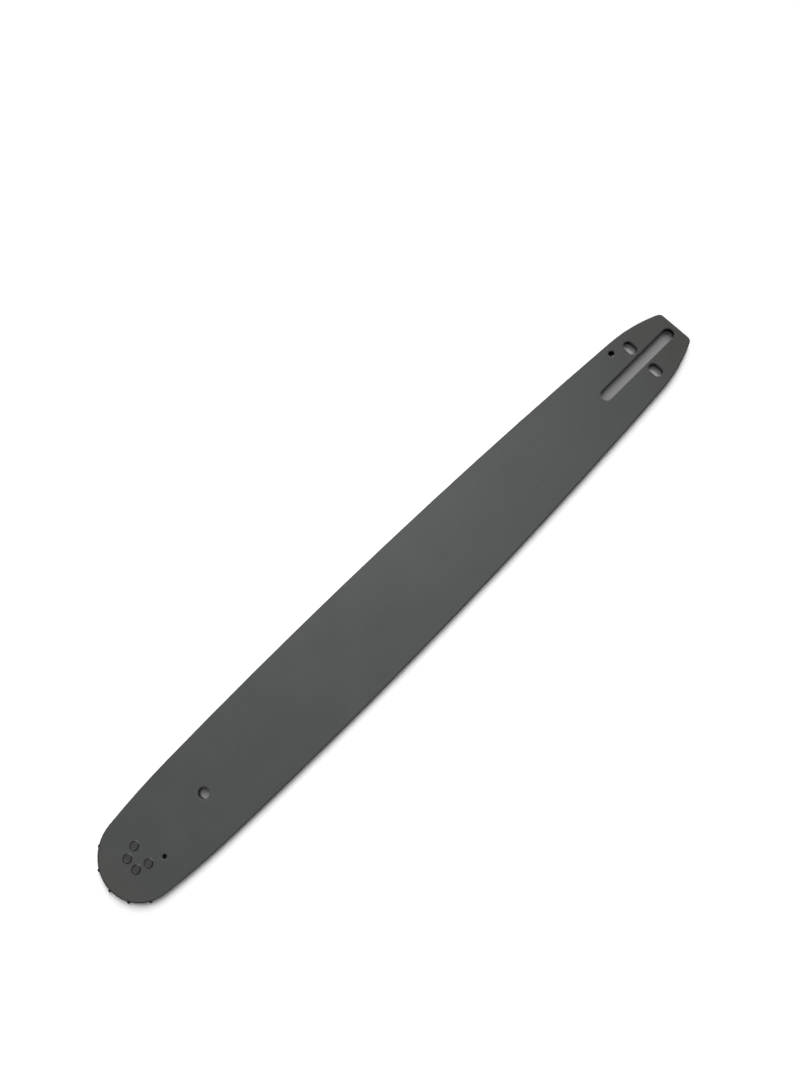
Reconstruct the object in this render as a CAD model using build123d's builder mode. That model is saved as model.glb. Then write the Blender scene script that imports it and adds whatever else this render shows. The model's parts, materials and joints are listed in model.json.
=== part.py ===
"""Sprocket-nose chainsaw guide bar: two side plates on a core, with a toothed nose wheel.

The frame is in mm. The origin is midway between the two chain tensioner holes on the lower face,
+X runs along the bar to its nose and +Z out of the upper face.
"""

import math
import os

from build123d import *

# Chain that the bar is made for: half the distance over three rivets, and its gauge
chain_pitch = 8.255
groove_width = 1.5
groove_depth = 8.0

# Bar outline, measured from the tensioner holes
nose_reach = 473.1
tail_reach = 32.0
nose_setback = 1.4
belly_swell = 5.1
widest_to_nose = 163.4
taper_run = 54.5
shoulder_x = 6.0
shoulder_radius = 102.0
tail_corner_radius = 4.0

# Laminations
plate_thickness = 1.6
rim_chamfer = 0.3

# Openings at the tail
slot_front = 39.2
slot_width = 8.3
slot_tail_wall = 3.6
slot_web = 2.0
tensioner_hole_length = 10.6
tensioner_hole_width = 6.4
tensioner_edge_wall = 7.2
oil_hole_x = 11.8
oil_hole_diameter = 4.2
oil_hole_off_floor = 1.5

# Openings near the nose
hang_hole_to_nose = 59.0
hang_hole_diameter = 8.0
grease_hole_diameter = 3.2
grease_hole_angle = 138.6

# Nose wheel and its bearing
tooth_count = 12
tooth_phase = 3.8
tooth_depth = 7.9
tooth_proud = 0.4
tip_below_rivets = 1.7
tip_width = 1.8
tip_round = 0.2
gullet_radius = 4.2
wheel_rim = 2.3
roller_diameter = 4.0

# Rivets through the nose: places of a five-spot ring, with the spot to the tail left out
rivet_count = 4
rivet_step = 72.0
rivet_ring_radius = 7.8
rivet_shank_radius = 2.4
rivet_head_radius = 3.0
rivet_proud = 0.35

# Clearances
wheel_side_clear = 0.1
wheel_tip_clear = 1.0
roller_clear = 0.05
roller_gap = 0.12
rivet_clear = 0.05
rivet_flush_clear = 0.05

# Levels through the thickness
core_base = plate_thickness
core_top = core_base + groove_width
bar_top = core_top + plate_thickness

# Wheel and bearing, worked inwards from the circle of the chain's rivets
tip_radius = chain_pitch / (2 * math.sin(math.pi / (2 * tooth_count))) - tip_below_rivets
wheel_root = tip_radius - tooth_depth
wheel_bore = wheel_root - wheel_rim
roller_ring = wheel_bore - roller_clear - roller_diameter / 2
race_radius = wheel_bore - roller_diameter - 2 * roller_clear
roller_count = math.floor(2 * math.pi * roller_ring / (roller_diameter + roller_gap))

# Widths: the plates stand back from the tooth tips, and the tail leaves a wall beside its holes
nose_radius = tip_radius - tooth_proud
belly_half_width = nose_radius + belly_swell
tensioner_y = (slot_width + tensioner_hole_length) / 2 + slot_web
shoulder_half_width = tensioner_y + tensioner_hole_length / 2 + tensioner_edge_wall

# Places along the bar: the nose arc is struck a little behind the wheel's axis
nose = Vector(nose_reach, 0)
nose_arc_centre = Vector(nose_reach - nose_setback, 0)
hang_spot = (nose_reach - hang_hole_to_nose, 0)
slot_length = slot_front + tail_reach - slot_tail_wall
slot_spot = (slot_front - slot_length / 2, 0)
tensioner_spots = [(0, -tensioner_y), (0, tensioner_y)]


def turned(radius, degrees):
    """The point at this radius and angle from the wheel's axis."""
    angle = math.radians(degrees)
    return nose + Vector(math.cos(angle), math.sin(angle)) * radius


grease_spot = turned(roller_ring, grease_hole_angle)
rivet_spots = [
    turned(rivet_ring_radius, rivet_step * (i - (rivet_count - 1) / 2)) for i in range(rivet_count)
]

# Belly arc: widest ahead of the middle, and through the shoulder
widest_x = nose_reach - widest_to_nose
belly_run = widest_x - shoulder_x
belly_drop = belly_half_width - shoulder_half_width
belly_radius = (belly_run**2 + belly_drop**2) / (2 * belly_drop)
belly_centre = Vector(widest_x, belly_half_width - belly_radius)


def edge_half_width(x):
    """Half the bar's width at a place on the belly arc."""
    return belly_centre.Y + math.sqrt(belly_radius**2 - (x - belly_centre.X) ** 2)


# Taper arc: leaves the belly ahead of the nose and runs into the nose arc
taper_start = Vector(nose_reach - taper_run, edge_half_width(nose_reach - taper_run))
taper_inward = (belly_centre - taper_start).normalized()
to_start = taper_start - nose_arc_centre
taper_radius = (nose_radius**2 - to_start.dot(to_start)) / (2 * (taper_inward.dot(to_start) + nose_radius))
taper_centre = taper_start + taper_inward * taper_radius
nose_outward = (nose_arc_centre - taper_centre).normalized()

# Shoulder arc: turns the belly in to the tail end
shoulder_start = Vector(shoulder_x, edge_half_width(shoulder_x))
shoulder_inward = (belly_centre - shoulder_start).normalized()
shoulder_centre = shoulder_start + shoulder_inward * shoulder_radius

oil_hole_y = edge_half_width(oil_hole_x) - groove_depth + oil_hole_off_floor


def arc(centre, start, end):
    """The short arc about a centre between two points."""
    middle = ((start - centre) + (end - centre)).normalized()
    return ThreePointArc(start, centre + middle * (start - centre).length, end)


def bar_face(inset):
    """The bar's outline, drawn in by an even inset."""
    nose_tip = nose_arc_centre + Vector(nose_radius - inset, 0)
    nose_end = nose_arc_centre + nose_outward * (nose_radius - inset)
    taper_end = taper_start + taper_inward * inset
    belly_end = shoulder_start + shoulder_inward * inset
    tail_x = inset - tail_reach
    rise = math.sqrt((shoulder_radius - inset) ** 2 - (tail_x - shoulder_centre.X) ** 2)
    tail_end = Vector(tail_x, shoulder_centre.Y + rise)
    with BuildSketch() as face:
        with BuildLine():
            arc(taper_centre, nose_end, taper_end)
            arc(belly_centre, taper_end, belly_end)
            arc(shoulder_centre, belly_end, tail_end)
            mirror(about=Plane.XZ)
            ThreePointArc(nose_end, nose_tip, (nose_end.X, -nose_end.Y))
            Line(tail_end, (tail_end.X, -tail_end.Y))
        make_face()
    return face.sketch


def through_holes():
    """The openings that run through all three laminations."""
    with BuildSketch() as holes:
        with Locations(slot_spot):
            SlotOverall(slot_length, slot_width)
        with Locations(*tensioner_spots):
            SlotOverall(tensioner_hole_length, tensioner_hole_width, rotation=90)
        with Locations(hang_spot):
            Circle(hang_hole_diameter / 2)
    return holes.sketch


def side_plate_face(side):
    """A side plate flat: side is -1 for the upper plate and 1 for the lower, which is turned over."""
    with BuildSketch() as face:
        add(bar_face(0))
        fillet(face.vertices().sort_by(Axis.X)[:2], tail_corner_radius)
        add(through_holes(), mode=Mode.SUBTRACT)
        with Locations((oil_hole_x, side * oil_hole_y)):
            Circle(oil_hole_diameter / 2, mode=Mode.SUBTRACT)
        with Locations((grease_spot.X, -side * grease_spot.Y)):
            Circle(grease_hole_diameter / 2, mode=Mode.SUBTRACT)
    return face.sketch


# Upper side plate: the face seen in the photograph
with BuildPart() as upper_side_plate:
    with BuildSketch(Plane.XY.offset(core_top)):
        add(side_plate_face(-1))
    extrude(amount=plate_thickness)
    chamfer(upper_side_plate.faces().sort_by(Axis.Z)[-1].outer_wire().edges(), rim_chamfer)
    with Locations(*[Location((spot.X, spot.Y, bar_top)) for spot in rivet_spots]):
        Hole(rivet_shank_radius + rivet_clear)

# Lower side plate: the same stamping turned over about the bar's length
with BuildPart() as lower_side_plate:
    with BuildSketch():
        add(side_plate_face(1))
    extrude(amount=plate_thickness)
    chamfer(lower_side_plate.faces().sort_by(Axis.Z)[0].outer_wire().edges(), rim_chamfer)
    with Locations(*[Location((spot.X, spot.Y, plate_thickness)) for spot in rivet_spots]):
        Hole(rivet_shank_radius + rivet_clear)

# Core plate: stops short of the rim, so the side plates make the chain groove
with BuildPart() as core_plate:
    with BuildSketch(Plane.XY.offset(core_base)):
        add(bar_face(groove_depth))
        add(through_holes(), mode=Mode.SUBTRACT)
        with Locations(nose):
            Circle(tip_radius + wheel_tip_clear, mode=Mode.SUBTRACT)
    extrude(amount=groove_width)

# Nose wheel: a round gullet for each drive link, and a tooth with a rounded tip between two gullets
half_pitch = 180 / tooth_count
gullet_centre = Vector(wheel_root + gullet_radius, 0)
gullet_floor = Vector(wheel_root, 0)
corner_radius = tip_radius - tip_round
corner_angle = half_pitch - math.degrees(math.asin(tip_width / 2 / corner_radius))
corner = Vector(corner_radius, 0).rotate(Axis.Z, corner_angle)
to_corner = corner - gullet_centre
flank_turn = math.atan2(to_corner.Y, to_corner.X) + math.acos(gullet_radius / to_corner.length)
flank_foot = gullet_centre + Vector(math.cos(flank_turn), math.sin(flank_turn)) * gullet_radius
tip = Vector(tip_radius, 0)
next_corner = Vector(corner.X, -corner.Y)
next_foot = Vector(flank_foot.X, -flank_foot.Y)
with BuildPart() as nose_sprocket:
    with BuildSketch(Plane((nose_reach, 0, core_base + wheel_side_clear))):
        with BuildLine():
            for i in range(tooth_count):
                gap = tooth_phase + half_pitch * (2 * i + 1)
                next_gap = gap + 2 * half_pitch
                foot = flank_foot.rotate(Axis.Z, gap)
                tooth_side = corner.rotate(Axis.Z, gap)
                far_side = next_corner.rotate(Axis.Z, next_gap)
                far_foot = next_foot.rotate(Axis.Z, next_gap)
                ThreePointArc(next_foot.rotate(Axis.Z, gap), gullet_floor.rotate(Axis.Z, gap), foot)
                Line(foot, tooth_side)
                ThreePointArc(tooth_side, tip.rotate(Axis.Z, gap + half_pitch), far_side)
                Line(far_side, far_foot)
        make_face()
        Circle(wheel_bore, mode=Mode.SUBTRACT)
    extrude(amount=groove_width - 2 * wheel_side_clear)

# Bearing race: a disc the rivets clamp between the side plates
with BuildPart() as bearing_race:
    with BuildSketch(Plane.XY.offset(core_base)):
        with Locations(nose):
            Circle(race_radius)
        with Locations(*rivet_spots):
            Circle(rivet_shank_radius + rivet_clear, mode=Mode.SUBTRACT)
    extrude(amount=groove_width)

# Nose rivets: finished flush below, with a low bevelled head above
with BuildPart() as rivet:
    with BuildSketch(Plane.XZ):
        with BuildLine():
            Polyline(
                (0, rivet_flush_clear),
                (rivet_shank_radius, rivet_flush_clear),
                (rivet_shank_radius, bar_top),
                (rivet_head_radius, bar_top),
                (rivet_head_radius - rivet_proud, bar_top + rivet_proud),
                (0, bar_top + rivet_proud),
                close=True,
            )
        make_face()
    revolve(axis=Axis.Z)
with BuildPart() as nose_rivets:
    with Locations(*rivet_spots):
        add(rivet.part)

# Bearing rollers: a full ring between the race and the wheel
rollers = []
for i in range(roller_count):
    with BuildPart() as bearing_roller:
        with Locations(turned(roller_ring, 360 * i / roller_count) + Vector(0, 0, core_base + roller_clear)):
            Cylinder(
                roller_diameter / 2,
                groove_width - 2 * roller_clear,
                align=(Align.CENTER, Align.CENTER, Align.MIN),
            )
    rollers.append(bearing_roller.part)

os.makedirs("parts", exist_ok=True)
upper_side_plate.part.label = "upper_side_plate"
export_step(upper_side_plate.part, "parts/upper_side_plate.step")
lower_side_plate.part.label = "lower_side_plate"
export_step(lower_side_plate.part, "parts/lower_side_plate.step")
core_plate.part.label = "core_plate"
export_step(core_plate.part, "parts/core_plate.step")
nose_sprocket.part.label = "nose_sprocket"
export_step(nose_sprocket.part, "parts/nose_sprocket.step")
bearing_race.part.label = "bearing_race"
export_step(bearing_race.part, "parts/bearing_race.step")
nose_rivets.part.label = "nose_rivets"
export_step(nose_rivets.part, "parts/nose_rivets.step")
for number, roller in enumerate(rollers, start=1):
    roller.label = f"bearing_roller_{number:02d}"
    export_step(roller, f"parts/bearing_roller_{number:02d}.step")
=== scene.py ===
"""Looks of a sprocket-nose chainsaw guide bar, lying on a pale studio floor.

Sizes are in mm in the part's own frame: the origin is midway between the tensioner holes on the lower
face, +X runs to the nose and +Z out of the upper face. Meshes are in metres.
"""

import json
import logging
import math
from collections.abc import Callable
from dataclasses import dataclass, field
from enum import Enum

import bmesh
import bpy
import numpy as np
from mathutils import Matrix, Vector


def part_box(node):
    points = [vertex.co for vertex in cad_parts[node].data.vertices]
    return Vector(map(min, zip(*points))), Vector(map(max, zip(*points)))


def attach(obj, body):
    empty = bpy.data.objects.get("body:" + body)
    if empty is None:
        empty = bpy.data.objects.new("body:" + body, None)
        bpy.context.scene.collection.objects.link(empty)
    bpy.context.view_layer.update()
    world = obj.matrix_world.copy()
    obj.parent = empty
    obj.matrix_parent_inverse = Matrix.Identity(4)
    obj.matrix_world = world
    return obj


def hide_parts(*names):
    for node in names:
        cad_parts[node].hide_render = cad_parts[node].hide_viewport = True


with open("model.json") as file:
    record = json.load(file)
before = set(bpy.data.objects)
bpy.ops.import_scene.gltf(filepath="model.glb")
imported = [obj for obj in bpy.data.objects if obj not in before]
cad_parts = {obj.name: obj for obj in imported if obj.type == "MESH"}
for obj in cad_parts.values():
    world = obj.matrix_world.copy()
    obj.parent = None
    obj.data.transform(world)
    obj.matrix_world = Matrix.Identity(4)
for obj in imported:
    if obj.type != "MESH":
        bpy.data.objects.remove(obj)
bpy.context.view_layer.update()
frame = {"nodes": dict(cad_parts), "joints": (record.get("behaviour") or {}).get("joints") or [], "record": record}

MM = 0.001
MERGE_DISTANCE = 1e-8
SHARP_ANGLE = math.radians(50)
log = logging.getLogger("guide_bar")

Colour = tuple[float, float, float]
Place = tuple[float, float, float]
Span = tuple[float, float]


class Body(Enum):
    """The bodies that pieces ride on."""

    BAR = "bar"
    WHEEL = "wheel"


class Slot(Enum):
    """The record's material slots."""

    BAR_COATING = "bar_coating"
    RIVET_COATING = "rivet_coating"
    CORE_STEEL = "core_steel"
    WHEEL_STEEL = "wheel_steel"
    BEARING_STEEL = "bearing_steel"


def mount(name: str) -> dict:
    """The record of a mount, by its name."""
    return next(m for m in frame["record"]["mounts"] if m["name"] == name)


def mount_place(name: str) -> np.ndarray:
    """Where the record puts a mount, in mm."""
    return np.array(mount(name)["pos_m"]) / MM


def mount_size(name: str, size: str) -> float:
    """One stated size of a mount, in mm."""
    return float(mount(name)["dims"][size])


def nose_axis() -> np.ndarray:
    """The wheel's axis at mid thickness, in mm, from the joint that turns it."""
    return np.array(frame["joints"][0]["pos_m"]) / MM


def level(node: str, top: bool) -> float:
    """The height in mm of a node's top or bottom face."""
    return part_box(node)[1 if top else 0].z / MM


def math_method(operation: str, swapped: bool = False) -> "Callable[..., Value]":
    """Makes a method that adds one Math node.

    Args:
        operation: The node's operation.
        swapped: Whether the other number comes first, as in the reflected operators.

    Returns:
        The method, which takes the other number where the operation has one.
    """

    def method(self: "Value", *others: "Number") -> "Value":
        """Works the operation out on this value and the other."""
        numbers = (*others, self) if swapped else (self, *others)
        return self.graph.math(operation, *numbers)

    return method


class Value:
    """A number socket that takes part in arithmetic: each operator adds one Math node."""

    def __init__(self, graph: "Graph", socket: bpy.types.NodeSocket) -> None:
        """Wraps an output socket of a graph."""
        self.graph = graph
        self.socket = socket

    __add__ = math_method("ADD")
    __radd__ = math_method("ADD", swapped=True)
    __sub__ = math_method("SUBTRACT")
    __rsub__ = math_method("SUBTRACT", swapped=True)
    __mul__ = math_method("MULTIPLY")
    __rmul__ = math_method("MULTIPLY", swapped=True)
    __gt__ = math_method("GREATER_THAN")
    __abs__ = math_method("ABSOLUTE")
    sine = math_method("SINE")
    least = math_method("MINIMUM")
    most = math_method("MAXIMUM")

    def within(self, low: float, high: float) -> "Value":
        """Held between two limits."""
        return self.most(low).least(high)

    def hypot(self, other: "Value") -> "Value":
        """Length of a right triangle's long side."""
        return self.graph.math("SQRT", self * self + other * other)

    def rise(self, low: float, high: float) -> "Value":
        """Smooth rise.

        Args:
            low: Where it leaves zero.
            high: Where it comes to one.

        Returns:
            A value from zero to one.
        """
        settings = {"interpolation_type": "SMOOTHSTEP"}
        sockets = {"Value": self, "From Min": low, "From Max": high}
        return self.graph.number("ShaderNodeMapRange", settings, sockets, "Result")


Number = Value | float


class Graph:
    """The node tree of one material."""

    def __init__(self, name: str) -> None:
        """Starts a material with a shader, and object coordinates in mm.

        Args:
            name: The material's name.
        """
        self.material = bpy.data.materials.new(name)
        self.material.use_nodes = True
        self.tree = self.material.node_tree
        self.tree.nodes.clear()
        self.shader = self.node("ShaderNodeBsdfPrincipled")
        output = self.node("ShaderNodeOutputMaterial")
        self.tree.links.new(self.shader.outputs["BSDF"], output.inputs["Surface"])
        self.coordinates = self.node("ShaderNodeTexCoord")
        self.place = self.stretched((1 / MM, 1 / MM, 1 / MM), self.coordinates.outputs["Object"])

    def node(self, kind: str, settings: dict | None = None, sockets: dict | None = None) -> bpy.types.Node:
        """Adds a node.

        Args:
            kind: The node's type.
            settings: Its own settings, which are set first.
            sockets: Values or links by socket name, or by place for sockets that share a name.

        Returns:
            The node.
        """
        made = self.tree.nodes.new(kind)
        for name, setting in (settings or {}).items():
            setattr(made, name, setting)
        for name, given in (sockets or {}).items():
            self.feed(self.socket(made, name), given)
        return made

    @staticmethod
    def socket(node: bpy.types.Node, name: str | int) -> bpy.types.NodeSocket:
        """Finds an input.

        Args:
            node: The node.
            name: The input's place, or its name, of which the first live one counts.

        Returns:
            The input.
        """
        if isinstance(name, int):
            return node.inputs[name]
        return next(s for s in node.inputs if s.enabled and s.name == name)

    def feed(self, socket: bpy.types.NodeSocket, given: "Number | Colour | bpy.types.NodeSocket") -> None:
        """Links a socket, or sets its value.

        Args:
            socket: The input.
            given: A wrapped number, an output socket, a number, a vector or a colour.
        """
        if isinstance(given, Value):
            self.tree.links.new(given.socket, socket)
        elif isinstance(given, bpy.types.NodeSocket):
            self.tree.links.new(given, socket)
        elif socket.type == "RGBA":
            socket.default_value = (*given, 1.0)
        else:
            socket.default_value = given

    def number(self, kind: str, settings: dict, sockets: dict, output: str) -> Value:
        """Adds a node and wraps one of its number outputs.

        Args:
            kind: The node's type.
            settings: Its settings.
            sockets: Its socket values or links.
            output: The output's name.

        Returns:
            The wrapped output.
        """
        made = self.node(kind, settings, sockets)
        return Value(self, next(s for s in made.outputs if s.enabled and s.name == output))

    def math(self, operation: str, first: Number, second: Number | None = None) -> Value:
        """The result of a Math node's operation on one number or two."""
        sockets = {0: first} if second is None else {0: first, 1: second}
        return self.number("ShaderNodeMath", {"operation": operation}, sockets, "Value")

    def axes(self, vector: bpy.types.NodeSocket) -> tuple[Value, Value, Value]:
        """The three parts of a vector output."""
        parts = self.node("ShaderNodeSeparateXYZ", None, {"Vector": vector})
        return tuple(Value(self, parts.outputs[axis]) for axis in "XYZ")

    def joined(self, x: Number, y: Number, z: Number) -> bpy.types.NodeSocket:
        """The vector of three numbers."""
        return self.node("ShaderNodeCombineXYZ", None, {"X": x, "Y": y, "Z": z}).outputs["Vector"]

    def stretched(self, scale: Place, vector: bpy.types.NodeSocket | None = None) -> bpy.types.NodeSocket:
        """Coordinates, or the place in mm where none are given, times a factor on each axis."""
        sockets = {0: vector or self.place, 1: scale}
        return self.node("ShaderNodeVectorMath", {"operation": "MULTIPLY"}, sockets).outputs["Vector"]

    def noise(self, size: float, detail: float = 2.0, vector: bpy.types.NodeSocket | None = None) -> Value:
        """Adds cloudy noise about one half.

        Args:
            size: Size of a cloud, in mm or in the vector's own unit.
            detail: Finer layers.
            vector: Coordinates, or None for the place in mm.

        Returns:
            Noise from zero to one.
        """
        sockets = {"Vector": vector or self.place, "Scale": 1 / size, "Detail": detail}
        return self.number("ShaderNodeTexNoise", {"noise_dimensions": "3D"}, sockets, "Fac")

    def mix(self, share: Number, first: "Tint", second: "Tint") -> bpy.types.NodeSocket:
        """Mixes two colours.

        Args:
            share: Share of the second.
            first: A colour or colour output.
            second: A colour or colour output.

        Returns:
            The mixed colour.
        """
        sockets = {"Factor": share, "A": first, "B": second}
        made = self.node("ShaderNodeMix", {"data_type": "RGBA", "clamp_factor": True}, sockets)
        return next(s for s in made.outputs if s.enabled)

    def bump(self, height: Value) -> bpy.types.NodeSocket:
        """The normal of a surface raised by a height in mm."""
        sockets = {"Strength": 1.0, "Distance": MM, "Height": height}
        return self.node("ShaderNodeBump", None, sockets).outputs["Normal"]

    def finish(self, **sockets: "Tint | Number") -> bpy.types.Material:
        """Sets the shader.

        Args:
            **sockets: Values or links by socket name, with underscores for spaces.

        Returns:
            The finished material.
        """
        for name, given in sockets.items():
            self.feed(self.socket(self.shader, name.replace("_", " ")), given)
        return self.material


Tint = Colour | bpy.types.NodeSocket


@dataclass(frozen=True)
class Arc:
    """One arc of the bar's outline on the +Y side, with the place along the bar where it starts."""

    centre: np.ndarray
    radius: float
    start_x: float

    def depth(self, x: Value, y: Value) -> Value:
        """Distance in from the arc: its radius less the distance from its centre."""
        return self.radius - (x - self.centre[0]).hypot(y - self.centre[1])


@dataclass
class BarOutline:
    """The bar's outline as tangent arcs, and its openings, for finishes that change near an edge."""

    nose_radius: float = 29.5
    nose_setback: float = 1.4
    belly_half_width: float = 34.6
    shoulder_half_width: float = 23.95
    widest_to_nose: float = 163.4
    taper_run: float = 54.5
    shoulder_x: float = 6.0
    shoulder_radius: float = 102.0
    slot_width: float = 8.3

    def arcs(self) -> list[Arc]:
        """Works the arcs out as the bar is drawn: belly through two widths, taper tangent to belly and nose.

        Returns:
            Shoulder, belly, taper and nose arcs.
        """
        nose_x = nose_axis()[0]
        nose_centre = np.array([nose_x - self.nose_setback, 0.0])
        widest_x = nose_x - self.widest_to_nose
        drop = self.belly_half_width - self.shoulder_half_width
        belly_radius = ((widest_x - self.shoulder_x) ** 2 + drop**2) / (2 * drop)
        belly_centre = np.array([widest_x, self.belly_half_width - belly_radius])
        taper_start = self.on_arc(belly_centre, belly_radius, nose_x - self.taper_run)
        inward = (belly_centre - taper_start) / belly_radius
        reach = taper_start - nose_centre
        taper_radius = (self.nose_radius**2 - reach @ reach) / (2 * (inward @ reach + self.nose_radius))
        taper_centre = taper_start + inward * taper_radius
        outward = (nose_centre - taper_centre) / np.linalg.norm(nose_centre - taper_centre)
        nose_start = nose_centre + outward * self.nose_radius
        shoulder_start = self.on_arc(belly_centre, belly_radius, self.shoulder_x)
        inward = (belly_centre - shoulder_start) / belly_radius
        shoulder_centre = shoulder_start + inward * self.shoulder_radius
        return [
            Arc(shoulder_centre, self.shoulder_radius, -math.inf),
            Arc(belly_centre, belly_radius, self.shoulder_x),
            Arc(taper_centre, taper_radius, taper_start[0]),
            Arc(nose_centre, self.nose_radius, nose_start[0]),
        ]

    @staticmethod
    def on_arc(centre: np.ndarray, radius: float, x: float) -> np.ndarray:
        """The upper point of a circle at a place along the bar."""
        return np.array([x, centre[1] + math.sqrt(radius**2 - (x - centre[0]) ** 2)])

    def rim_distance(self, x: Value, y: Value) -> Value:
        """Distance in from the rim: the depth in from the arc that the place lies under, or from the tail.

        Args:
            x: Place along the bar, in mm.
            y: Place across it, in mm.

        Returns:
            Distance in mm, right near the rim.
        """
        across = abs(y)
        shoulder, *others = self.arcs()
        distance = shoulder.depth(x, across)
        for arc in others:
            distance = distance + (x > arc.start_x) * (arc.depth(x, across) - distance)
        tail_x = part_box("upper_side_plate")[0].x / MM
        return distance.least(x - tail_x)

    def hole_distance(self, x: Value, y: Value, side: Value) -> Value:
        """Distance out from the nearest opening: slots as lines grown by a radius, bores as points.

        Args:
            x: Place along the bar, in mm.
            y: Place across it, in mm.
            side: Minus one on the upper plate and one on the lower, which is turned over.

        Returns:
            Distance in mm.
        """
        across = abs(y)
        slot_x = mount_place("bar_slot")[0]
        slot_reach = (mount_size("bar_slot", "slot_length_mm") - self.slot_width) / 2
        along = x - x.within(slot_x - slot_reach, slot_x + slot_reach)
        slot = along.hypot(y) - self.slot_width / 2
        pin_radius = mount_size("tensioner_holes", "hole_r_mm")
        pin_y = mount_size("tensioner_holes", "spacing_y_mm") / 2
        pin_reach = mount_size("tensioner_holes", "slot_length_mm") / 2 - pin_radius
        over = across - across.within(pin_y - pin_reach, pin_y + pin_reach)
        distance = slot.least(x.hypot(over) - pin_radius)
        hang_x = mount_place("hang_hole")[0]
        distance = distance.least((x - hang_x).hypot(y) - mount_size("hang_hole", "r_mm"))
        for bore in ("oil_hole_lower", "grease_hole_lower"):
            bore_x, bore_y, _ = mount_place(bore)
            near = (x - bore_x).hypot(y * side - bore_y) - mount_size(bore, "r_mm")
            distance = distance.least(near)
        return distance


@dataclass(frozen=True)
class BarCoating:
    """Satin dark grey coating on rolled steel: cloudy tone, fine grain, rolled edges and bare cut walls.

    Sizes, runs, lines and reaches are in mm. Stretches are factors on the place that a noise is read at.
    """

    dark: Colour = (0.0393, 0.0422, 0.0410)
    light: Colour = (0.0538, 0.0576, 0.0561)
    burnish: Colour = (0.075, 0.081, 0.078)
    # Painted shade, used for the rim, the nose and the rivets' crevices.
    painted_shade: Colour = (0.010, 0.010, 0.010)
    oil_and_shade: Colour = (0.004, 0.004, 0.004)
    wall: Colour = (0.030, 0.030, 0.030)
    rail: Colour = (0.024, 0.024, 0.025)
    shear: Colour = (0.020, 0.020, 0.021)
    # Warmer tints at the ends; the tail's is darker too, as painted shade.
    tail_shade_tint: Colour = (0.0267, 0.0258, 0.0230)
    nose_tint: Colour = (0.0509, 0.0505, 0.0475)
    broad_size: float = 110.0
    cloud_size: float = 24.0
    grain_size: float = 0.5
    peel_size: float = 1.6
    rub_size: float = 5.0
    rolling_stretch: Place = (1 / 70, 1 / 1.1, 1.0)
    shear_stretch: Place = (2.5, 2.5, 0.3)
    # Painted shade: the coat darkens towards the tail over this run.
    painted_tail_shade_run: Span = (-30.0, 110.0)
    painted_tail_shade_share: float = 0.8
    tail_shade_tint_run: Span = (-25.0, 32.0)
    nose_tint_run: Span = (-5.0, 25.0)
    end_tint_share: float = 0.7
    edge_roll: float = 0.22
    edge_roll_run: Span = (0.0, 0.8)
    rubbed_run: Span = (0.0, 0.7)
    rubbed_share: float = 0.2
    rivet_swell: float = 0.2
    swell_rise: Span = (0.05, 0.3)
    swell_fall: Span = (0.3, 0.75)
    swell_share: float = 0.9
    # Painted shade: a dark ring in the crevice round each rivet.
    crevice_run: Span = (0.05, 0.25)
    crevice_shade: float = 0.9
    # Painted shade: a dark line along the rim, and a darker one round the nose.
    rim_line: Span = (0.2, 0.7)
    rim_shade: float = 0.4
    nose_line: Span = (0.65, 1.1)
    nose_line_run: Span = (4.0, 14.0)
    nose_shade: float = 0.9
    # Oil and painted shade: the faces between the plates darken over this reach.
    oil_and_shade_reach: Span = (0.02, 0.08)
    wall_slope: Span = (0.3, 0.6)
    rail_depth: Span = (0.3, 0.8)
    roughness: float = 0.5
    wall_roughness: float = 0.40
    metal: float = 0.85
    specular: float = 0.12

    def material(self, outline: BarOutline, rivets: "NoseRivets") -> bpy.types.Material:
        """Builds the coating.

        Args:
            outline: Where the rim and the openings are.
            rivets: Where the rivets are: the plate swells a little round each, and painted shade darkens the
                crevice.

        Returns:
            The material.
        """
        graph = Graph(Slot.BAR_COATING.value + "_finish")
        x, y, z = graph.axes(graph.place)
        flat = abs(graph.axes(graph.coordinates.outputs["Normal"])[2])
        low, high = level("core_plate", top=False), level("core_plate", top=True)
        side = 1 - 2 * (z > low)
        ahead = x - nose_axis()[0]
        rim = outline.rim_distance(x, y)
        edge = rim.least(outline.hole_distance(x, y, side))
        beside = rivets.edge_distance(x, y, side)

        # The face's tone: clouds, rolling lines and grain, darker towards the tail as painted shade.
        broad = graph.noise(self.broad_size, 1)
        cloud = graph.noise(self.cloud_size, 3)
        grain = graph.noise(self.grain_size, 2)
        peel = graph.noise(self.peel_size, 1)
        rolling = graph.noise(1, 3, graph.stretched(self.rolling_stretch))
        tone = 0.5 + 0.5 * (broad - 0.5) + 0.5 * (cloud - 0.5) + 0.35 * (rolling - 0.5) + 0.5 * (grain - 0.5)
        painted_tail_shade = 1 - x.rise(*self.painted_tail_shade_run)
        coat = graph.mix(tone - self.painted_tail_shade_share * painted_tail_shade, self.dark, self.light)

        # A warmer tint at each end; at the tail it is darker too, as painted shade.
        coat = graph.mix(self.end_tint_share * ahead.rise(*self.nose_tint_run), coat, self.nose_tint)
        coat = graph.mix(self.end_tint_share * (1 - x.rise(*self.tail_shade_tint_run)), coat, self.tail_shade_tint)

        # Rubbed edges, and a burnished swell round each rivet.
        swell = beside.rise(*self.swell_rise) * (1 - beside.rise(*self.swell_fall))
        rubbed = (1 - edge.rise(*self.rubbed_run)) * graph.noise(self.rub_size, 3).rise(0.3, 0.7)
        bright = (self.rubbed_share * rubbed).most(self.swell_share * swell)
        coat = graph.mix(bright, coat, self.burnish)

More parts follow.
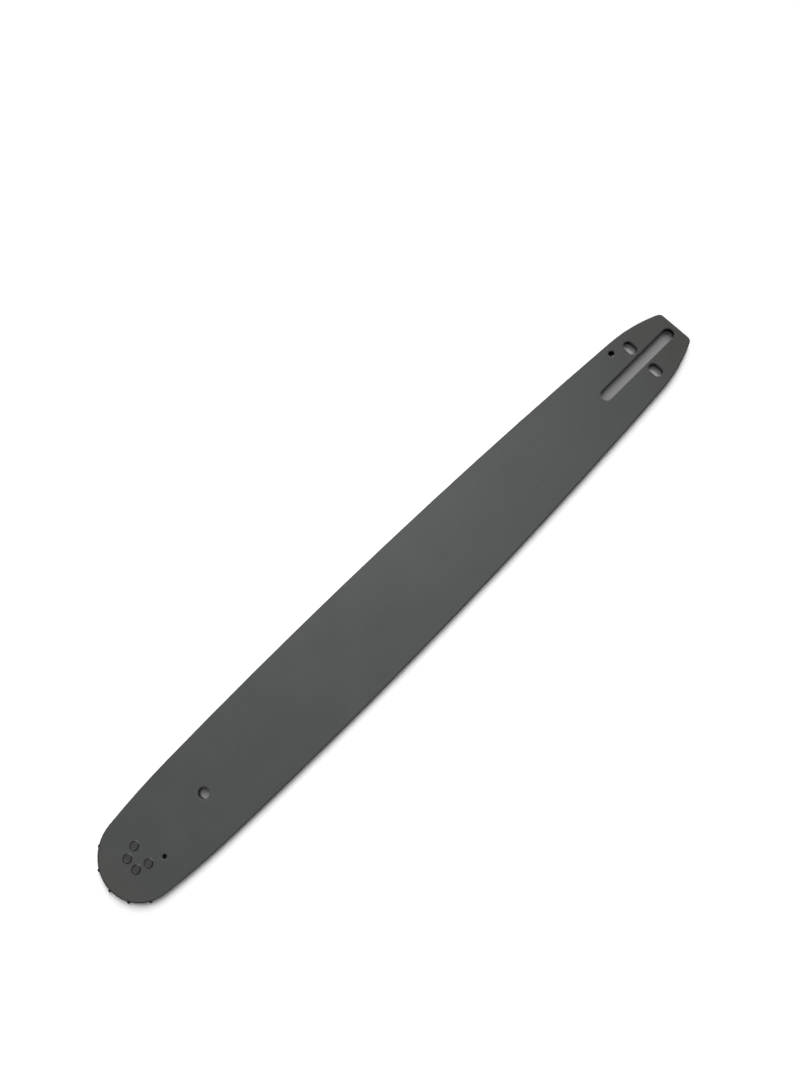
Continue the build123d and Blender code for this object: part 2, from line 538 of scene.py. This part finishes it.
        # Painted shade: a dark line along the rim, a darker one round the nose and a dark ring in the rivets'
        # crevices; then the groove's faces, dark with oil and with painted shade between the plates.
        along_rim = self.rim_shade * (1 - rim.rise(*self.rim_line))
        round_nose = self.nose_shade * ahead.rise(*self.nose_line_run) * (1 - rim.rise(*self.nose_line))
        crevice = self.crevice_shade * (1 - beside.rise(*self.crevice_run))
        coat = graph.mix(along_rim.most(round_nose).most(crevice), coat, self.painted_shade)
        # The groove's faces between the plates: dark with oil, and darker still as painted shade.
        half_gap = (high - low) / 2
        start, end = (half_gap + reach for reach in self.oil_and_shade_reach)
        inside = 1 - abs(z - (low + high) / 2).rise(start, end)
        coat = graph.mix(inside, coat, self.oil_and_shade)

        # Bare cut walls: rails at the rim, and sheared walls in the openings.
        bare = 1 - flat.rise(*self.wall_slope)
        shear = graph.noise(1, 2, graph.stretched(self.shear_stretch))
        cut = graph.mix(rim.rise(*self.rail_depth), self.rail, self.wall)
        cut = graph.mix(0.5 * shear.rise(0.3, 0.75), cut, self.shear)

        height = self.edge_roll * edge.rise(*self.edge_roll_run) + self.rivet_swell * swell
        height = height + 0.006 * grain + 0.01 * peel + 0.004 * rolling
        rough = self.roughness + 0.14 * (cloud - 0.5) + 0.1 * (grain - 0.5)
        rough = rough - (0.12 * rubbed).most(0.18 * swell)
        return graph.finish(
            Base_Color=graph.mix(bare, coat, cut),
            Roughness=rough + bare * (self.wall_roughness + 0.15 * (shear - 0.5) - rough),
            Metallic=(self.metal * bare).most(self.metal * swell),
            Normal=graph.bump(height),
            Specular_IOR_Level=self.specular,
        )


@dataclass(frozen=True)
class RivetCoating:
    """The bar's coating over peened rivet heads: a shade darker, with turned rings and a rubbed crown.

    Sizes are in mm, and the painted shade's runs are counted along the profile from the head's edge.
    """

    dark: Colour = (0.0235, 0.0238, 0.0234)
    light: Colour = (0.0400, 0.0405, 0.0398)
    crown: Colour = (0.0530, 0.0536, 0.0527)
    edge_shade: Colour = (0.002, 0.002, 0.002)
    wander_size: float = 1.4
    grain_size: float = 0.4
    rub_size: float = 0.8
    ring_pitch: float = 0.22
    edge_shade_rise: Span = (-0.65, -0.3)
    edge_shade_fall: Span = (0.6, 1.0)
    edge_shade_share: float = 0.92
    crown_share: float = 0.4
    roughness: float = 0.5
    specular: float = 0.2

    def material(self, head_radius: float) -> bpy.types.Material:
        """Builds the finish: rings repeat along the profile's own length, which the UV map holds in mm.

        Args:
            head_radius: Radius of the head, whose edge is darkened with painted shade.

        Returns:
            The material.
        """
        graph = Graph(Slot.RIVET_COATING.value + "_finish")
        _, along, _ = graph.axes(graph.coordinates.outputs["UV"])
        wander = graph.noise(self.wander_size, 2)
        rings = ((along + 0.3 * wander) * (2 * math.pi / self.ring_pitch)).sine()
        grain = graph.noise(self.grain_size, 2)
        tone = 0.45 + 0.1 * rings + 0.6 * (wander - 0.5) + 0.5 * (grain - 0.5)
        coat = graph.mix(tone, self.dark, self.light)
        rubbed = graph.noise(self.rub_size, 3).rise(0.5, 0.75)
        coat = graph.mix(self.crown_share * rubbed, coat, self.crown)
        # Painted shade: a dark ring over the head's edge and down the shank.
        past_edge = along - head_radius
        edge = past_edge.rise(*self.edge_shade_rise) * (1 - past_edge.rise(*self.edge_shade_fall))
        return graph.finish(
            Base_Color=graph.mix(self.edge_shade_share * edge, coat, self.edge_shade),
            Roughness=self.roughness + 0.2 * (wander - 0.5),
            Specular_IOR_Level=self.specular,
            Normal=graph.bump(0.004 * rings + 0.006 * grain + 0.015 * wander),
        )


@dataclass(frozen=True)
class OiledSteel:
    """Rolled core steel under an oil film: lengthwise rolling lines, brown-grey stains and a wet sheen."""

    dark: Colour = (0.075, 0.073, 0.072)
    light: Colour = (0.20, 0.198, 0.20)
    stain: Colour = (0.06, 0.048, 0.038)
    line_stretch: Place = (1 / 45, 1 / 0.5, 1 / 0.5)
    cloud_size: float = 14.0
    fine_size: float = 0.5
    stain_share: float = 0.6
    roughness: float = 0.42
    oil: float = 0.5
    oil_roughness: float = 0.2

    def material(self) -> bpy.types.Material:
        """Builds the finish: noise drawn out along the bar for the lines, and clouds for the stains.

        Returns:
            The material.
        """
        graph = Graph(Slot.CORE_STEEL.value + "_finish")
        lines = graph.noise(1, 3, graph.stretched(self.line_stretch))
        fine = graph.noise(self.fine_size, 2)
        metal = graph.mix(lines.rise(0.25, 0.75), self.dark, self.light)
        film = graph.noise(self.cloud_size, 4).rise(0.45, 0.7)
        return graph.finish(
            Base_Color=graph.mix(self.stain_share * film, metal, self.stain),
            Roughness=self.roughness + 0.25 * (lines - 0.5) - 0.12 * film,
            Metallic=0.9 - 0.35 * film,
            Coat_Weight=self.oil * film,
            Coat_Roughness=self.oil_roughness,
            Normal=graph.bump(0.008 * lines + 0.005 * fine),
        )


@dataclass(frozen=True)
class BlackenedSteel:
    """Hardened, blackened and oiled wheel steel: near black, mottled, a little rubbed near the tooth tips."""

    dark: Colour = (0.0015, 0.0015, 0.0017)
    light: Colour = (0.0045, 0.0045, 0.0049)
    rubbed: Colour = (0.016, 0.0155, 0.0155)
    mottle_size: float = 2.5
    grain_size: float = 0.35
    lathe_size: float = 0.25
    wear_size: float = 0.9
    wear_share: float = 0.15
    roughness: float = 0.5
    specular: float = 0.1

    def material(self, tip_radius: float, root_radius: float) -> bpy.types.Material:
        """Builds the finish, with rings about the wheel's axis.

        Args:
            tip_radius: Radius over the teeth, in mm.
            root_radius: Radius under them, in mm.

        Returns:
            The material.
        """
        graph = Graph(Slot.WHEEL_STEEL.value + "_finish")
        x, y, _ = graph.axes(graph.place)
        axis_x, axis_y, _ = nose_axis()
        radius = (x - axis_x).hypot(y - axis_y)
        mottle = graph.noise(self.mottle_size, 4)
        grain = graph.noise(self.grain_size, 2)
        lathe = graph.noise(self.lathe_size, 1, graph.joined(radius, 0.0, 0.0))
        oxide = graph.mix(0.5 + 0.9 * (mottle - 0.5) + 0.4 * (lathe - 0.5), self.dark, self.light)
        worn = radius.rise(root_radius, tip_radius) * graph.noise(self.wear_size, 3).rise(0.5, 0.75)
        return graph.finish(
            Base_Color=graph.mix(self.wear_share * worn, oxide, self.rubbed),
            Roughness=self.roughness + 0.25 * (mottle - 0.5) + 0.1 * (grain - 0.5),
            Metallic=0.5 * worn,
            Specular_IOR_Level=self.specular,
            Normal=graph.bump(0.006 * grain + 0.01 * lathe + 0.01 * mottle),
        )


@dataclass(frozen=True)
class GroundSteel:
    """Ground bearing steel: fine rings about the wheel's axis, under a dark coat of grease."""

    dark: Colour = (0.10, 0.10, 0.103)
    light: Colour = (0.22, 0.22, 0.226)
    grease: Colour = (0.0016, 0.0014, 0.0012)
    ring_size: float = 0.12
    cloud_size: float = 3.0
    grease_cover: Span = (0.1, 0.35)
    grease_share: float = 0.99
    roughness: float = 0.3
    specular: float = 0.12

    def material(self) -> bpy.types.Material:
        """Builds the finish: rings are noise that changes with the distance from the wheel's axis and height.

        Returns:
            The material.
        """
        graph = Graph(Slot.BEARING_STEEL.value + "_finish")
        x, y, z = graph.axes(graph.place)
        axis_x, axis_y, _ = nose_axis()
        radius = (x - axis_x).hypot(y - axis_y)
        rings = graph.noise(self.ring_size, 2, graph.joined(radius, 0.0, 4 * z))
        film = graph.noise(self.cloud_size, 3).rise(*self.grease_cover)
        metal = graph.mix(rings.rise(0.3, 0.7), self.dark, self.light)
        return graph.finish(
            Base_Color=graph.mix(self.grease_share * film, metal, self.grease),
            Roughness=self.roughness + 0.2 * (rings - 0.5) + 0.1 * film,
            Metallic=1 - 0.98 * film,
            Specular_IOR_Level=self.specular,
            Normal=graph.bump(0.003 * rings),
        )


@dataclass(frozen=True)
class StudioPaper:
    """Matt studio paper: two tones mixed by broad clouds and fine grain, whose sizes are in mm."""

    name: str
    dark: Colour
    light: Colour
    cloud_size: float = 220.0
    grain_size: float = 0.8
    roughness: float = 0.9
    specular: float = 0.1

    def colour(self, graph: Graph) -> bpy.types.NodeSocket:
        """Mixes the two tones by clouds and grain.

        Args:
            graph: The material's nodes.

        Returns:
            The mixed colour.
        """
        cloud = graph.noise(self.cloud_size, 2)
        grain = graph.noise(self.grain_size, 3)
        return graph.mix(0.5 + 0.6 * (cloud - 0.5) + 0.5 * (grain - 0.5), self.dark, self.light)

    def material(self) -> bpy.types.Material:
        """Builds the finish, with a fine tooth in the surface.

        Returns:
            The material.
        """
        graph = Graph(self.name)
        return graph.finish(
            Base_Color=self.colour(graph),
            Roughness=self.roughness,
            Specular_IOR_Level=self.specular,
            Normal=graph.bump(0.01 * graph.noise(self.grain_size, 3)),
        )


@dataclass(frozen=True)
class SidedPaper(StudioPaper):
    """Studio paper that pales to another tone over a run of mm out from the bar's middle line: painted light on
    the floor seen through the tensioner holes.
    """

    side: Colour = (0.42, 0.42, 0.42)
    painted_light_run: Span = (6.0, 9.0)

    def colour(self, graph: Graph) -> bpy.types.NodeSocket:
        """Mixes in the sides' tone by the distance from the line.

        Args:
            graph: The material's nodes.

        Returns:
            The mixed colour.
        """
        # Painted light: paler away from the middle line, under the tensioner holes.
        across = abs(graph.axes(graph.place)[1])
        return graph.mix(across.rise(*self.painted_light_run), super().colour(graph), self.side)


def surface_piece(name: str, points: np.ndarray, lengths: np.ndarray, wrap: bool) -> bpy.types.Object:
    """Makes a smooth piece of one or more grids of points, each closed along its rows.

    A grid's quads join each point to the next along its row and the next row, worked out as index arrays.
    Coincident points, as at a pole, are merged, and faces are turned outwards. The UV map holds the share of
    the way round the rows, and the length that is given for the column.

    Args:
        name: The piece's name.
        points: Places in mm, as grids x rows x columns x 3.
        lengths: Each column's length in the map.
        wrap: Whether the last column joins the first.

    Returns:
        The object, at the origin.
    """
    grids, rows, columns, _ = points.shape
    spans = columns if wrap else columns - 1
    grid, row, column = (a.ravel() for a in np.indices((grids, rows, spans)))
    next_column = (column + 1) % columns
    line = (grid * rows + row) * columns
    next_line = (grid * rows + (row + 1) % rows) * columns
    faces = np.stack(
        [line + column, next_line + column, next_line + next_column, line + next_column], axis=1
    )
    mesh = bpy.data.meshes.new(name)
    mesh.from_pydata((points.reshape(-1, 3) * MM).tolist(), [], faces.tolist())
    share = np.linspace(0, 1, rows + 1)
    round_rows = share[np.stack([row, row + 1, row + 1, row], axis=1)]
    over_columns = lengths[np.stack([column, column, next_column, next_column], axis=1)]
    corners = np.stack([round_rows, over_columns], axis=2)
    mesh.uv_layers.new(name="profile").data.foreach_set("uv", corners.astype(np.float32).ravel())
    work = bmesh.new()
    work.from_mesh(mesh)
    bmesh.ops.remove_doubles(work, verts=work.verts, dist=MERGE_DISTANCE)
    bmesh.ops.recalc_face_normals(work, faces=work.faces)
    work.to_mesh(mesh)
    work.free()
    mesh.polygons.foreach_set("use_smooth", np.ones(len(mesh.polygons), dtype=bool))
    mesh.set_sharp_from_angle(angle=SHARP_ANGLE)
    piece = bpy.data.objects.new(name, mesh)
    bpy.context.scene.collection.objects.link(piece)
    return piece


def dress(piece: bpy.types.Object, material: bpy.types.Material) -> None:
    """Puts one material on a piece."""
    piece.data.materials.clear()
    piece.data.materials.append(material)


def settle(piece: bpy.types.Object, body: Body, replaced: str) -> None:
    """Makes a new piece ride on a body in place of a node.

    Args:
        piece: The new piece.
        body: What it rides on.
        replaced: The node it stands for.
    """
    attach(piece, body.value)
    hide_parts(replaced)
    log.info("made %s with %d faces for %s", piece.name, len(piece.data.polygons), replaced)


@dataclass
class NoseRivets:
    """Four peened rivets that hold the nose's laminations."""

    ring_radius: float = 7.8
    step: float = 72.0
    count: int = 4
    head_radius: float = 3.0
    shank_radius: float = 2.4
    proud: float = 0.35
    bevel: float = 0.7
    dish_depth: float = 0.13
    dish_radius: float = 2.2
    dimple_depth: float = 0.07
    dimple_radius: float = 0.45
    ring_depth: float = 0.1
    ring_place: float = 1.4
    ring_width: float = 0.28
    flush_gap: float = 0.05
    foot_round: float = 0.15
    foot_inset: float = 0.2
    head_samples: int = 40
    round_samples: int = 5
    foot_samples: int = 16
    samples: int = 64
    finish: RivetCoating = field(default_factory=RivetCoating)

    def spots(self) -> np.ndarray:
        """The rivets' places, evenly stepped on a ring about the wheel's axis, in mm."""
        turn = np.radians(self.step * (np.arange(self.count) - (self.count - 1) / 2))
        return nose_axis()[:2] + self.ring_radius * np.stack([np.cos(turn), np.sin(turn)], axis=1)

    def edge_distance(self, x: Value, y: Value, side: Value) -> Value:
        """Distance out from the nearest rivet's edge: the head above, and the plain shank below.

        Args:
            x: Place along the bar, in mm.
            y: Place across it, in mm.
            side: Minus one on the upper plate and one on the lower.

        Returns:
            Distance in mm.
        """
        first, *others = [(x - spot_x).hypot(y - spot_y) for spot_x, spot_y in self.spots()]
        nearest = first
        for other in others:
            nearest = nearest.least(other)
        middle = (self.head_radius + self.shank_radius) / 2
        return nearest - (middle - side * (self.head_radius - middle))

    def head_height(self, radius: np.ndarray) -> np.ndarray:
        """Height of the head: a crown that falls in a cosine to its edge, less three hollows.

        They are a shallow round dish, a bell for the centre dimple and a bell for the peening tool's ring.

        Args:
            radius: Distances from the rivet's axis, in mm.

        Returns:
            Heights above the face, in mm.
        """
        fall = np.clip((radius - self.head_radius + self.bevel) / self.bevel, 0, 1)
        crown = self.proud * np.cos(fall * math.pi / 2)
        dimple = self.dimple_depth * np.exp(-((radius / self.dimple_radius) ** 2))
        ring = self.ring_depth * np.exp(-(((radius - self.ring_place) / self.ring_width) ** 2))
        dish = self.dish_depth * np.clip(1 - (radius / self.dish_radius) ** 2, 0, 1)
        return crown - dish - dimple - ring

    def profile(self) -> np.ndarray:
        """Half section from the crown's centre, over the edge, down the shank to the flush end's centre.

        Returns:
            Radii and heights in mm, as points x 2.
        """
        top = level("upper_side_plate", top=True)
        radius = np.linspace(0, self.head_radius, self.head_samples)
        head = np.stack([radius, top + self.head_height(radius)], axis=1)
        end = self.flush_gap
        shank = np.array([[self.shank_radius, top], [self.shank_radius, end + self.foot_round]])
        turn = np.linspace(0, math.pi / 2, self.round_samples)
        round_radius = self.shank_radius - self.foot_round * (1 - np.cos(turn))
        round_off = np.stack([round_radius, end + self.foot_round * (1 - np.sin(turn))], axis=1)
        foot_radius = np.linspace(self.shank_radius - self.foot_inset, 0, self.foot_samples)
        dimple = self.dimple_depth * np.exp(-((foot_radius / self.dimple_radius) ** 2))
        foot = np.stack([foot_radius, end + dimple], axis=1)
        return np.concatenate([head, shank, round_off, foot])

    def build(self) -> None:
        """Turns the profile about each rivet's axis: x = r cos t, y = r sin t, z = h."""
        profile = self.profile()
        turn = np.linspace(0, 2 * math.pi, self.samples, endpoint=False)
        round_x = np.outer(np.cos(turn), profile[:, 0])
        round_y = np.outer(np.sin(turn), profile[:, 0])
        height = np.broadcast_to(profile[:, 1], round_x.shape)
        rivet = np.stack([round_x, round_y, height], axis=2)
        points = rivet[None] + np.pad(self.spots(), ((0, 0), (0, 1)))[:, None, None]
        steps = np.linalg.norm(np.diff(profile, axis=0, prepend=profile[:1]), axis=1)
        piece = surface_piece("peened_rivets", points, np.cumsum(steps), wrap=False)
        dress(piece, self.finish.material(self.head_radius))
        settle(piece, Body.BAR, "nose_rivets")


@dataclass
class BarBody:
    """The two side plates and the core between them."""

    outline: BarOutline = field(default_factory=BarOutline)
    rivets: NoseRivets = field(default_factory=NoseRivets)
    coating: BarCoating = field(default_factory=BarCoating)
    core: OiledSteel = field(default_factory=OiledSteel)

    def build(self) -> None:
        """Dresses the plates and the core."""
        coating = self.coating.material(self.outline, self.rivets)
        for node in ("upper_side_plate", "lower_side_plate"):
            dress(frame["nodes"][node], coating)
            log.info("coated %s", node)
        dress(frame["nodes"]["core_plate"], self.core.material())
        log.info("oiled core_plate")


@dataclass
class NoseWheel:
    """The toothed nose wheel, with eased edges."""

    chain_pitch: float = 8.255
    tooth_count: int = 12
    tooth_phase: float = 3.8
    tooth_depth: float = 7.9
    tip_below_rivets: float = 1.7
    tip_width: float = 1.8
    tip_round: float = 0.2
    gullet_radius: float = 4.2
    wheel_rim: float = 2.3
    ease: float = 0.14
    tip_samples: int = 7
    flank_samples: int = 9
    gullet_samples: int = 14
    ease_samples: int = 5
    side_samples: int = 6
    finish: BlackenedSteel = field(default_factory=BlackenedSteel)
    tip_radius: float = field(init=False)
    root_radius: float = field(init=False)
    bore_radius: float = field(init=False)

    def __post_init__(self) -> None:
        """Works the radii out from the circle of the chain's rivets."""
        half_tooth = math.pi / self.tooth_count
        self.tip_radius = self.chain_pitch / (2 * math.sin(half_tooth / 2)) - self.tip_below_rivets
        self.root_radius = self.tip_radius - self.tooth_depth
        self.bore_radius = self.root_radius - self.wheel_rim

    def tooth_gap(self) -> np.ndarray:
        """Outline from the middle of one tooth tip to the next: half a tip, a straight flank, the round
        gullet, and the same again mirrored.

        Returns:
            Points about the wheel's axis, in mm, as points x 2.
        """
        half_tooth = math.pi / self.tooth_count
        gullet = np.array([self.root_radius + self.gullet_radius, 0.0])
        corner_radius = self.tip_radius - self.tip_round
        tip_angle = np.linspace(0, math.asin(self.tip_width / 2 / corner_radius), self.tip_samples)
        share = tip_angle / tip_angle[-1]
        tip_r = self.tip_radius - self.tip_round * share**2
        tip_t = half_tooth - tip_angle
        tip = np.stack([tip_r * np.cos(tip_t), tip_r * np.sin(tip_t)], axis=1)
        reach = tip[-1] - gullet
        length = np.linalg.norm(reach)
        foot_turn = math.atan2(reach[1], reach[0]) + math.acos(self.gullet_radius / length)
        turn = np.linspace(foot_turn, math.pi, self.gullet_samples)
        floor = gullet + self.gullet_radius * np.stack([np.cos(turn), np.sin(turn)], axis=1)
        flank = tip[-1] + np.linspace(0, 1, self.flank_samples)[1:-1, None] * (floor[0] - tip[-1])
        half = np.concatenate([tip, flank, floor])
        return np.concatenate([half, half[-2:0:-1] * (1, -1)])

    def outline(self) -> np.ndarray:
        """Turns the gap round the axis once for each tooth, as complex numbers times a unit turn.

        Returns:
            The whole outline about the wheel's axis, in mm, as complex numbers.
        """
        gap = self.tooth_gap()
        flat = gap[:, 0] + 1j * gap[:, 1]
        middle = math.radians(self.tooth_phase) + math.pi / self.tooth_count
        turns = np.exp(1j * (middle - 2 * math.pi / self.tooth_count * np.arange(self.tooth_count)))
        return np.outer(turns, flat).ravel()

    def section(self) -> np.ndarray:
        """Section across the rim, as stations of share towards the bore, inset from the edge, and height.

        Returns:
            Stations x 3: flat sides, with a quarter round of the ease at each of four edges.
        """
        low, high = level("nose_sprocket", top=False), level("nose_sprocket", top=True)
        turn = np.linspace(0, math.pi / 2, self.ease_samples)
        inset = self.ease * (1 - np.sin(turn))
        height = high - self.ease * (1 - np.cos(turn))
        outer = np.stack([np.zeros_like(turn), inset, height], axis=1)
        inner = np.stack([np.ones_like(turn), inset, height], axis=1)
        across = np.linspace(0, 1, self.side_samples)[1:-1]
        flat = np.stack([across, np.full_like(across, self.ease), np.full_like(across, high)], axis=1)
        half = np.concatenate([inner[::-1], flat[::-1], outer])
        under = half[::-1] * (1, 1, -1) + (0, 0, low + high)
        return np.concatenate([half, under])

    def build(self) -> None:
        """Carries the section round the outline: a point is the edge moved in by the inset, shared with
        the bore's circle on the same ray."""
        edge = self.outline()
        ahead = np.roll(edge, -1) - np.roll(edge, 1)
        inward = -1j * ahead / np.abs(ahead)
        ray = edge / np.abs(edge)
        share, inset, height = self.section().T
        rim = edge[:, None] + inward[:, None] * inset
        bore = ray[:, None] * (self.bore_radius + inset)
        flat = rim * (1 - share) + bore * share
        centre_x, centre_y, _ = nose_axis()
        points = np.stack(
            [flat.real + centre_x, flat.imag + centre_y, np.broadcast_to(height, flat.shape)], axis=2
        )
        piece = surface_piece("toothed_wheel", points[None], np.linspace(0, 1, share.size), wrap=True)
        dress(piece, self.finish.material(self.tip_radius, self.root_radius))
        settle(piece, Body.WHEEL, "nose_sprocket")


@dataclass
class NoseBearing:
    """The bearing race and its ring of rollers."""

    finish: GroundSteel = field(default_factory=GroundSteel)

    def build(self) -> None:
        """Dresses the race and every roller."""
        steel = self.finish.material()
        nodes = [name for name in sorted(frame["nodes"]) if name.startswith("bearing_")]
        for name in nodes:
            dress(frame["nodes"][name], steel)
        log.info("polished %d bearing nodes", len(nodes))


@dataclass(frozen=True)
class SkyLight:
    """A far, even light whose disc is wide enough to soften shadows.

    Attributes:
        name: The light's name.
        azimuth: Degrees from +X towards +Y, to the light.
        elevation: Degrees above the floor.
        spread: Degrees across its disc.
        strength: Watts a square metre, face on.
    """

    name: str
    azimuth: float
    elevation: float
    spread: float
    strength: float

    def build(self) -> None:
        """Adds the light."""
        data = bpy.data.lights.new(self.name, "SUN")
        data.angle = math.radians(self.spread)
        data.energy = self.strength
        light = bpy.data.objects.new(self.name, data)
        rise, turn = math.radians(self.elevation), math.radians(self.azimuth)
        towards = Vector((math.cos(rise) * math.cos(turn), math.cos(rise) * math.sin(turn), math.sin(rise)))
        light.rotation_euler = (-towards).to_track_quat("-Z", "Y").to_euler()
        light.location = towards
        bpy.context.scene.collection.objects.link(light)


@dataclass(frozen=True)
class SoftBox:
    """A square soft box that faces the middle of the bar.

    Attributes:
        name: The light's name.
        place: Where it hangs.
        size: Its side.
        power: Its power in watts.
        target: What it faces.
    """

    name: str
    place: Place
    size: float
    power: float
    target: Place = (235.0, 0.0, 4.7)

    def build(self) -> None:
        """Adds the light, unseen by the camera."""
        data = bpy.data.lights.new(self.name, "AREA")
        data.size = self.size * MM
        data.energy = self.power
        light = bpy.data.objects.new(self.name, data)
        light.location = Vector(self.place) * MM
        towards = Vector(self.target) - Vector(self.place)
        light.rotation_euler = towards.to_track_quat("-Z", "Y").to_euler()
        light.visible_camera = False
        bpy.context.scene.collection.objects.link(light)


@dataclass
class Studio:
    """The pale floor, the soft lights and the camera at the photograph's viewing angle.

    A grey card lies under the bar, smaller than it, so that it is seen only through the openings: it is painted
    shade on the floor there.
    """

    floor_gap: float = 0.05
    floor_flat_radius: float = 1400.0
    floor_radius: float = 3200.0
    floor_rise: float = 900.0
    floor_inner_share: float = 0.3
    floor_flat_rings: int = 6
    floor_bowl_rings: int = 25
    card_gap: float = 0.02
    card_tail_x: float = -29.0
    card_nose_x: float = 424.0
    card_half_width: float = 18.0
    card_squareness: float = 0.2
    card_rings: int = 9
    spokes: int = 96
    eye: Place = (226.27, 81.63, 559.5)
    aim: Place = (201.08, -32.08, 4.7)
    photo_up: Place = (-0.7006, -0.6921, 0.1737)
    focal_pixels: float = 835.9
    photo_height: float = 1066.0
    sensor_width: float = 36.0
    near_clip: float = 10.0
    far_lights: tuple[SkyLight, ...] = (
        SkyLight("key", azimuth=212.0, elevation=56.0, spread=30.0, strength=2.17),
        SkyLight("low", azimuth=219.0, elevation=32.0, spread=36.0, strength=2.1),
    )
    boxes: tuple[SoftBox, ...] = (
        SoftBox("lamp", place=(225.0, -200.0, 200.0), size=120.0, power=0.48),
    )
    fill: float = 0.38
    floor_finish: StudioPaper = StudioPaper("pale_floor", (0.78, 0.78, 0.78), (0.80, 0.80, 0.80))
    card_finish: StudioPaper = SidedPaper("shade_card_paper", (0.178, 0.178, 0.178), (0.196, 0.196, 0.196))

    def build(self) -> None:
        """Sets up the floor, the card, the lights and the camera."""
        scene = bpy.context.scene
        scene.view_settings.view_transform = "Standard"
        scene.world = bpy.data.worlds.new("soft_fill")
        scene.world.use_nodes = True
        background = scene.world.node_tree.nodes["Background"]
        background.inputs["Color"].default_value = (1.0, 1.0, 1.0, 1.0)
        background.inputs["Strength"].default_value = self.fill
        self.lay_floor()
        self.lay_card()
        for light in (*self.far_lights, *self.boxes):
            light.build()
        self.place_camera()

    def lay_floor(self) -> None:
        """Lays a round floor that is flat in the middle and rises as a cosine bowl towards its rim."""
        flat_radius = np.linspace(self.floor_inner_share, 1, self.floor_flat_rings) * self.floor_flat_radius
        bowl_radius = np.linspace(self.floor_flat_radius, self.floor_radius, self.floor_bowl_rings)
        radius = np.concatenate([[0.0], flat_radius, bowl_radius[1:]])
        run = self.floor_radius - self.floor_flat_radius
        share = np.clip((radius - self.floor_flat_radius) / run, 0, 1)
        height = self.floor_rise * (1 - np.cos(share * math.pi / 2)) - self.floor_gap
        turn = np.linspace(0, 2 * math.pi, self.spokes, endpoint=False)
        centre_x, centre_y, _ = self.aim
        points = np.stack(
            [
                centre_x + np.outer(np.cos(turn), radius),
                centre_y + np.outer(np.sin(turn), radius),
                np.broadcast_to(height, (turn.size, radius.size)),
            ],
            axis=2,
        )
        floor = surface_piece("floor", points[None], radius, wrap=False)
        dress(floor, self.floor_finish.material())
        log.info("laid the floor")

    def lay_card(self) -> None:
        """Lays the card, painted shade under the bar: a rectangle with rounded corners, shrunk in rings towards
        its middle.

        Its edge is x = a |cos t|^s and y = b |sin t|^s, each with the sign of its cosine or sine.
        """
        turn = np.linspace(0, 2 * math.pi, self.spokes, endpoint=False)
        share = np.linspace(0, 1, self.card_rings)
        across, along = np.sin(turn), np.cos(turn)
        middle = (self.card_tail_x + self.card_nose_x) / 2
        reach = (self.card_nose_x - self.card_tail_x) / 2
        edge_x = reach * np.sign(along) * np.abs(along) ** self.card_squareness
        edge_y = self.card_half_width * np.sign(across) * np.abs(across) ** self.card_squareness
        points = np.stack(
            [
                middle + np.outer(edge_x, share),
                np.outer(edge_y, share),
                np.full((turn.size, share.size), -self.card_gap),
            ],
            axis=2,
        )
        card = surface_piece("shade_card", points[None], share, wrap=False)
        dress(card, self.card_finish.material())
        log.info("laid the card")

    def place_camera(self) -> None:
        """Stands the camera at the eye, facing the aim, with the photograph's upright way up."""
        data = bpy.data.cameras.new("photo_camera")
        data.sensor_width = self.sensor_width
        data.lens = self.focal_pixels / self.photo_height * self.sensor_width
        data.clip_start = self.near_clip * MM
        back = (Vector(self.eye) - Vector(self.aim)).normalized()
        right = Vector(self.photo_up).cross(back).normalized()
        up = back.cross(right)
        camera = bpy.data.objects.new("photo_camera", data)
        turn = Matrix((right, up, back)).transposed().to_4x4()
        camera.matrix_world = Matrix.Translation(Vector(self.eye) * MM) @ turn
        bpy.context.scene.collection.objects.link(camera)
        bpy.context.scene.camera = camera


def main() -> None:
    """Builds every sub-assembly, then the studio."""
    logging.basicConfig(level=logging.INFO, format="%(name)s: %(message)s")
    for assembly in (BarBody(), NoseRivets(), NoseWheel(), NoseBearing(), Studio()):
        assembly.build()


if __name__ == "__main__":
    main()
